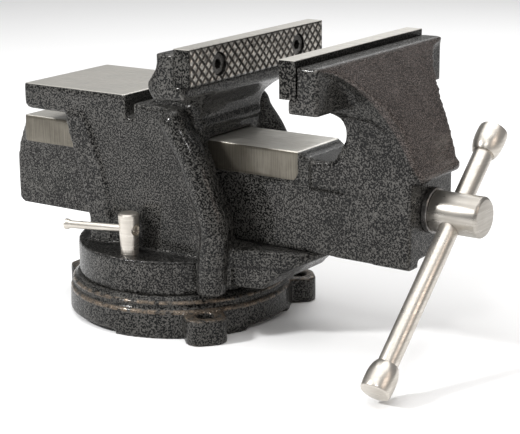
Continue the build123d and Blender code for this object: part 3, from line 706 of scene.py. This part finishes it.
def tooth_finish(name):
    """Blackened teeth with bright tips, painted ends and back, and a ground top."""
    if name in bpy.data.materials:
        return bpy.data.materials[name]
    steel = bpy.context.scene.vise_steel
    made, tree, shader = start_material(name)
    ground = use_group(tree, machined_group(), Lines_Vector=stretched(tree, (0, GROUND_LINES, 0)),
                       Pale=(*steel.ground_pale, 1), Deep=(*steel.ground_deep, 1), Smooth=0.3, Rough=0.45)
    (back_corner, fixed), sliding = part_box("fixed_jaw_plate"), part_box("sliding_jaw_plate")[0]
    middle, half_gap = (fixed.x + sliding.x) / 2, (sliding.x - fixed.x) / 2
    split = node(tree, "ShaderNodeSeparateXYZ", {0: object_coordinates(tree)})
    from_middle = math(tree, "ABSOLUTE", math(tree, "SUBTRACT", split.outputs[0], middle))
    tips = ramp(tree, from_middle, half_gap + 0.0001, half_gap + 0.0005, 1.0, 0.0)
    top = zone(tree, z=(fixed.z - 0.0003, FAR_AWAY, 0.0001))
    ends = zone(tree, absy=(fixed.y - 0.0005, FAR_AWAY, 0.0002))
    back_face = half_gap + fixed.x - back_corner.x
    back = ramp(tree, from_middle, back_face - 0.0004, back_face - 0.0002)
    soot = noise(tree, 420.0, 4.0)
    patchy = ramp(tree, soot, 0.32, 0.66)
    dark = blend(tree, patchy, (0.022, 0.021, 0.020, 1), (0.075, 0.072, 0.067, 1))
    bright = blend(tree, patchy, (0.20, 0.19, 0.175, 1), (0.55, 0.53, 0.49, 1))
    colour = blend(tree, tips, dark, bright)
    colour = blend(tree, math(tree, "MAXIMUM", ends, back), colour, paint_coat(tree)["Color"])
    colour = blend(tree, top, colour, ground["Color"])
    tree.links.new(colour, shader.inputs["Base Color"])
    tree.links.new(ground["Roughness"], shader.inputs["Roughness"])
    shader.inputs["Metallic"].default_value = GROUND_METALLIC
    bump(tree, shader, math(tree, "MULTIPLY", soot, SOOT_RELIEF), 1.0)
    return made


# ---- lead screw ---------------------------------------------------------------------------------
THREAD_SHAPE = ((0.0, 0), (0.30, 0), (0.44, 1), (0.86, 1), (1.0, 0))   # share of pitch, 1 at the crest


def threaded_rod(length, radius, pitch, depth, steps=36):
    """A trapezoidal right-hand thread along local Z from 0 to length, cut square at both ends."""
    bm = bmesh.new()
    root = radius - depth
    points = [bm.verts.new((radius if crest else root, 0, share * pitch - 2 * pitch))
              for share, crest in THREAD_SHAPE]
    lines = [bm.edges.new(pair) for pair in zip(points, points[1:])]
    turns = round(length / pitch) + 3
    bmesh.ops.spin(bm, geom=points + lines, cent=(0, 0, 0), axis=(0, 0, 1), angle=tau * turns,
                   dvec=(0, 0, pitch / steps), steps=steps * turns, use_merge=False)
    bmesh.ops.remove_doubles(bm, verts=bm.verts, dist=pitch * 1e-3)
    for height, normal in ((0.0, (0, 0, -1)), (length, (0, 0, 1))):
        bmesh.ops.bisect_plane(bm, geom=bm.verts[:] + bm.edges[:] + bm.faces[:], dist=MERGE_DISTANCE,
                               plane_co=(0, 0, height), plane_no=normal, clear_outer=True)
        rim = [e for e in bm.edges if e.is_boundary and abs(e.verts[0].co.z - height) < 1e-5
               and abs(e.verts[1].co.z - height) < 1e-5]
        bmesh.ops.contextual_create(bm, geom=rim)
    bmesh.ops.recalc_face_normals(bm, faces=bm.faces)
    return bm


SCREW_TONE = 0.66             # the screw is darker than the handle


class VISE_OT_lead_screw(ViseOperator, bpy.types.Operator):
    """Threaded lead screw with its bored head"""
    bl_idname = "vise.lead_screw"
    bl_label = "Lead screw"

    def execute(self, context):
        screw = context.scene.vise_screw
        tail, tip, head_radius = node_span("lead_screw", SCREW_CENTRE, SCREW_AXIS)
        handle_radius = node_span("handle_bar", SCREW_CENTRE, HANDLE_AXIS)[2]
        shank_radius, head_start = 0.010, 0.1976 - SCREW_CENTRE.x
        shank_start = screw.thread_end - SCREW_CENTRE.x
        chamfer_length, chamfer_depth, bore_gap = 0.0016, 0.0014, 0.00015
        profile = [(shank_start, 0), (shank_start, shank_radius), (head_start, shank_radius),
                   (head_start, head_radius), (tip - chamfer_length, head_radius),
                   (tip, head_radius - chamfer_depth), (tip, 0)]
        head = turned("screw_spindle", profile, SCREW_CENTRE, SCREW_AXIS, soften=0.0004)
        drill(head, SCREW_CENTRE, HANDLE_AXIS, handle_radius + bore_gap, 0.03)
        rod = threaded_rod(shank_start - tail, shank_radius, screw.thread_pitch, screw.thread_depth)
        bmesh.ops.transform(rod, matrix=standing_on(SCREW_CENTRE + SCREW_AXIS * tail, SCREW_AXIS),
                            verts=rod.verts)
        rod.from_mesh(head.data)
        rod.to_mesh(head.data)
        rod.free()
        head.data.shade_smooth()
        head.data.set_sharp_from_angle(angle=SHARP_ANGLE)
        finish = satin_finish("satin_screw", turn=(0, pi / 2, 0), share=SCREW_TONE)
        piece(head, "screw", "bright_steel", finish, "lead_screw")
        return {"FINISHED"}


# ---- handle -------------------------------------------------------------------------------------
# The knob's outline as shares of its length and radius; 0 at the start stands for the neck's radius.
KNOB_SWELL = (((0, 0), (0.14, 0.92), (0.34, 1), (0.60, 1)),
              ((0.60, 1), (0.76, 1), (0.88, 0.985), (0.945, 0.965)))
KNOB_END = ((0.965, 0.955), (0.985, 0.93), (0.996, 0.89), (1, 0.84), (1, 0))
KNOB_SHORT = 0.0013           # keeps the full end inside the CAD box
NECK_STEP = 0.0010            # from the bar's surface to the neck's


def knob(name, cad_node, finish):
    """Barrel knob pressed on one end of the handle, swelling from its neck to a flat end."""
    low, high, radius = node_span(cad_node, SCREW_CENTRE, HANDLE_AXIS)
    outer, inner, outward = (high, low, 1) if high > -low else (low, high, -1)
    length = high - low - KNOB_SHORT
    neck_share = (node_span("handle_bar", SCREW_CENTRE, HANDLE_AXIS)[2] + NECK_STEP) / radius
    profile = [(0, 0), (0, neck_share)]
    for start, *rest in KNOB_SWELL:
        curve = interpolate_bezier((start[0], start[1] or neck_share), *rest, 14)
        profile += [tuple(point) for point in curve[1:]]
    profile = [(share * length, r * radius) for share, r in profile + list(KNOB_END)]
    start = SCREW_CENTRE + HANDLE_AXIS * inner
    return piece(turned(name, profile, start, HANDLE_AXIS * outward), "handle", "bright_steel", finish,
                 cad_node)


class VISE_OT_handle(ViseOperator, bpy.types.Operator):
    """Sliding handle bar with a knob on each end"""
    bl_idname = "vise.handle"
    bl_label = "Handle"

    def execute(self, context):
        finish = satin_finish("satin_handle")
        low, high, radius = node_span("handle_bar", SCREW_CENTRE, HANDLE_AXIS)
        bar = turned("handle_rod", [(low, 0), (low, radius), (high, radius), (high, 0)], SCREW_CENTRE,
                     HANDLE_AXIS, soften=0.0006)
        piece(bar, "handle", "bright_steel", finish, "handle_bar")
        knob("knob_upper", "handle_knob_upper", finish)
        knob("knob_lower", "handle_knob_lower", finish)
        return {"FINISHED"}


# ---- swivel locks -------------------------------------------------------------------------------
class VISE_OT_locks(ViseOperator, bpy.types.Operator):
    """Lock bolts with their sliding bars, near and far"""
    bl_idname = "vise.locks"
    bl_label = "Swivel locks"

    def execute(self, context):
        finish = satin_finish("satin_lock")
        hole_turn = radians(-14)          # the loose bar lies aslant in its hole
        hole_radius, bar_radius, shank_radius, foot_radius = 0.0043, 0.0026, 0.006, 0.0059
        shoulder_height = 0.0498
        for side in ("near", "far"):
            centre = Vector(JOINTS[f"lock_turn_{side}"]["pos_m"])
            bar_axis = Vector(JOINTS[f"lock_bar_slide_{side}"]["axis"])
            bottom, top, radius = node_span(f"lock_bolt_{side}", centre, UP)
            shoulder = shoulder_height - centre.z
            profile = [(bottom, 0), (bottom, 0.0058), (bottom + 0.001, shank_radius),
                       (shoulder, shank_radius), (shoulder, foot_radius), (top - 0.0011, radius + 0.0003),
                       (top, radius - 0.0009), (top, 0)]
            bolt = turned(f"lock_stud_{side}", profile, centre, UP, soften=0.0003)
            hole_axis = Matrix.Rotation(hole_turn, 3, "Z") @ bar_axis
            drill(bolt, centre, hole_axis, hole_radius, 0.012)
            piece(bolt, f"lock_{side}", "bright_steel", finish, f"lock_bolt_{side}")
            low, high, end_radius = node_span(f"lock_bar_{side}", centre, bar_axis)
            profile = [(low, 0), (low, end_radius - 0.0005), (low + 0.0005, end_radius + 0.0002),
                       (low + 0.002, end_radius + 0.0002), (low + 0.0045, bar_radius),
                       (high - 0.0004, bar_radius), (high, bar_radius - 0.0004), (high, 0)]
            bar = turned(f"lock_tommy_{side}", profile, centre, bar_axis, segments=48)
            piece(bar, f"lock_{side}_bar", "bright_steel", finish, f"lock_bar_{side}")
        return {"FINISHED"}


# ---- hidden hardware ----------------------------------------------------------------------------
class VISE_OT_hardware(ViseOperator, bpy.types.Operator):
    """Finishes of the nuts, collar, spring, washers, pin and pivot bolt, whose CAD shapes stay"""
    bl_idname = "vise.hardware"
    bl_label = "Hidden hardware"

    def execute(self, context):
        lines = (700.0,) * 3
        iron = steel_finish("nut_iron", (0.20, 0.19, 0.18), (0.10, 0.095, 0.09), lines, 0.45, 0.65,
                            relief=0.00008)
        oiled = steel_finish("oiled_steel", (0.24, 0.23, 0.22), (0.12, 0.115, 0.11), lines)
        keep_cad_shape(iron, "main_nut", "lock_nut_near", "lock_nut_far")
        keep_cad_shape(oiled, "nut_screws", "spring_washer", "screw_spring", "split_pin", "pivot_bolt",
                       "pivot_washer", "thrust_collar")
        return {"FINISHED"}


# ---- stage --------------------------------------------------------------------------------------
WHITE, WARM = (1, 1, 1), (1.0, 0.86, 0.76)
VISE_MIDDLE, JAW_BACK = (0.03, 0, 0.09), (0.17, 0, 0.15)
LIGHTS = (                    # name, place, what it looks at, size, share of the power, colour
    ("overhead", (0.10, 0.10, 1.9), VISE_MIDDLE, 2.4, 1.0, WHITE),
    ("key", (-0.55, -1.00, 0.95), VISE_MIDDLE, 0.18, 0.46, WHITE),
    ("fill", (0.75, -1.10, 1.10), VISE_MIDDLE, 0.20, 0.10, WHITE),
    ("side", (1.45, -0.10, 0.75), JAW_BACK, 0.6, 0.07, WARM),
    ("back", (-0.30, 1.20, 1.00), VISE_MIDDLE, 0.8, 0.10, WHITE),
)
SENSOR_WIDTH = 36.0
NEAR_CLIP, FAR_CLIP = 0.05, 20.0
FLOOR_REACH, FLOOR_GAP = 6.0, 0.0002


def area_light(name, place, target, size, power, colour):
    """Soft square light aimed at a point."""
    data = bpy.data.lights.new(name, "AREA")
    data.shape = "SQUARE"
    data.size = size
    data.energy = power
    data.color = colour
    light = bpy.data.objects.new(name, data)
    bpy.context.scene.collection.objects.link(light)
    light.location = place
    light.rotation_euler = (Vector(target) - Vector(place)).to_track_quat("-Z", "Y").to_euler()
    return light


class VISE_OT_stage(ViseOperator, bpy.types.Operator):
    """Camera, plain floor and soft lights"""
    bl_idname = "vise.stage"
    bl_label = "Stage"

    def execute(self, context):
        scene, stage = context.scene, context.scene.vise_stage
        azimuth, elevation = stage.azimuth, stage.elevation
        right = Vector((cos(azimuth), sin(azimuth), 0))
        back = Vector((sin(azimuth) * cos(elevation), -cos(azimuth) * cos(elevation), sin(elevation)))
        up = back.cross(right)
        tilted_right = right * cos(stage.roll) + up * sin(stage.roll)
        tilted_up = up * cos(stage.roll) - right * sin(stage.roll)
        data = bpy.data.cameras.new("camera")
        data.lens = stage.lens
        data.sensor_width = SENSOR_WIDTH
        data.clip_start, data.clip_end = NEAR_CLIP, FAR_CLIP
        camera = bpy.data.objects.new("camera", data)
        scene.collection.objects.link(camera)
        turn = Matrix((tilted_right, tilted_up, back)).transposed().to_4x4()
        camera.matrix_world = Matrix.Translation(Vector(stage.target) + back * stage.distance) @ turn
        scene.camera = camera

        bm = bmesh.new()
        bmesh.ops.create_grid(bm, x_segments=2, y_segments=2, size=FLOOR_REACH)
        bmesh.ops.translate(bm, verts=bm.verts, vec=(0, 0, CAD_BOX[0][2] - FLOOR_GAP))
        floor = add_object("floor", bm, smooth=False)
        made, tree, shader = start_material("floor_matte")
        paler = tuple(min(1.0, value * 1.02) for value in stage.floor)
        mottled = blend(tree, noise(tree, 3.0), (*stage.floor, 1), (*paler, 1))
        tree.links.new(mottled, shader.inputs["Base Color"])
        shader.inputs["Roughness"].default_value = 0.9
        shader.inputs["Specular IOR Level"].default_value = 0.1
        floor.data.materials.append(made)

        for name, place, target, size, share, colour in LIGHTS:
            area_light(name, place, target, size, stage.key_power * share, colour)
        world = bpy.data.worlds.new("studio")
        world.use_nodes = True
        surround = world.node_tree.nodes["Background"].inputs
        surround[0].default_value = (*WHITE, 1)
        surround[1].default_value = stage.surround
        scene.view_settings.view_transform = "Standard"
        scene.world = world
        return {"FINISHED"}


# ---- add-on -------------------------------------------------------------------------------------
SETTINGS = {"vise_paint": VisePaint, "vise_steel": ViseSteel, "vise_jaws": ViseJaws,
            "vise_screw": ViseScrew, "vise_stage": ViseStage}
OPERATORS = (VISE_OT_stage, VISE_OT_base_casting, VISE_OT_body_casting, VISE_OT_jaw_casting,
             VISE_OT_jaw_plates, VISE_OT_lead_screw, VISE_OT_handle, VISE_OT_locks, VISE_OT_hardware)


class VISE_PT_pieces(bpy.types.Panel):
    """Lists the pieces of the vise and their settings"""
    bl_label = "Bench vise"
    bl_idname = "VISE_PT_pieces"
    bl_space_type = "VIEW_3D"
    bl_region_type = "UI"
    bl_category = "Vise"

    def draw(self, context):
        for operator in OPERATORS:
            self.layout.operator(operator.bl_idname)
        for label, group in SETTINGS.items():
            box = self.layout.box()
            settings = getattr(context.scene, label)
            for name in group.__annotations__:
                box.prop(settings, name)


def register():
    for group in SETTINGS.values():
        bpy.utils.register_class(group)
    for operator in OPERATORS:
        bpy.utils.register_class(operator)
    bpy.utils.register_class(VISE_PT_pieces)
    for label, group in SETTINGS.items():
        setattr(bpy.types.Scene, label, bpy.props.PointerProperty(type=group))


def unregister():
    for label in SETTINGS:
        delattr(bpy.types.Scene, label)
    bpy.utils.unregister_class(VISE_PT_pieces)
    for operator in reversed(OPERATORS):
        bpy.utils.unregister_class(operator)
    for group in reversed(SETTINGS.values()):
        bpy.utils.unregister_class(group)


def main():
    """Builds every piece."""
    register()
    for operator in OPERATORS:
        family, action = operator.bl_idname.split(".")
        getattr(getattr(bpy.ops, family), action)()


if __name__ == "__main__":
    main()
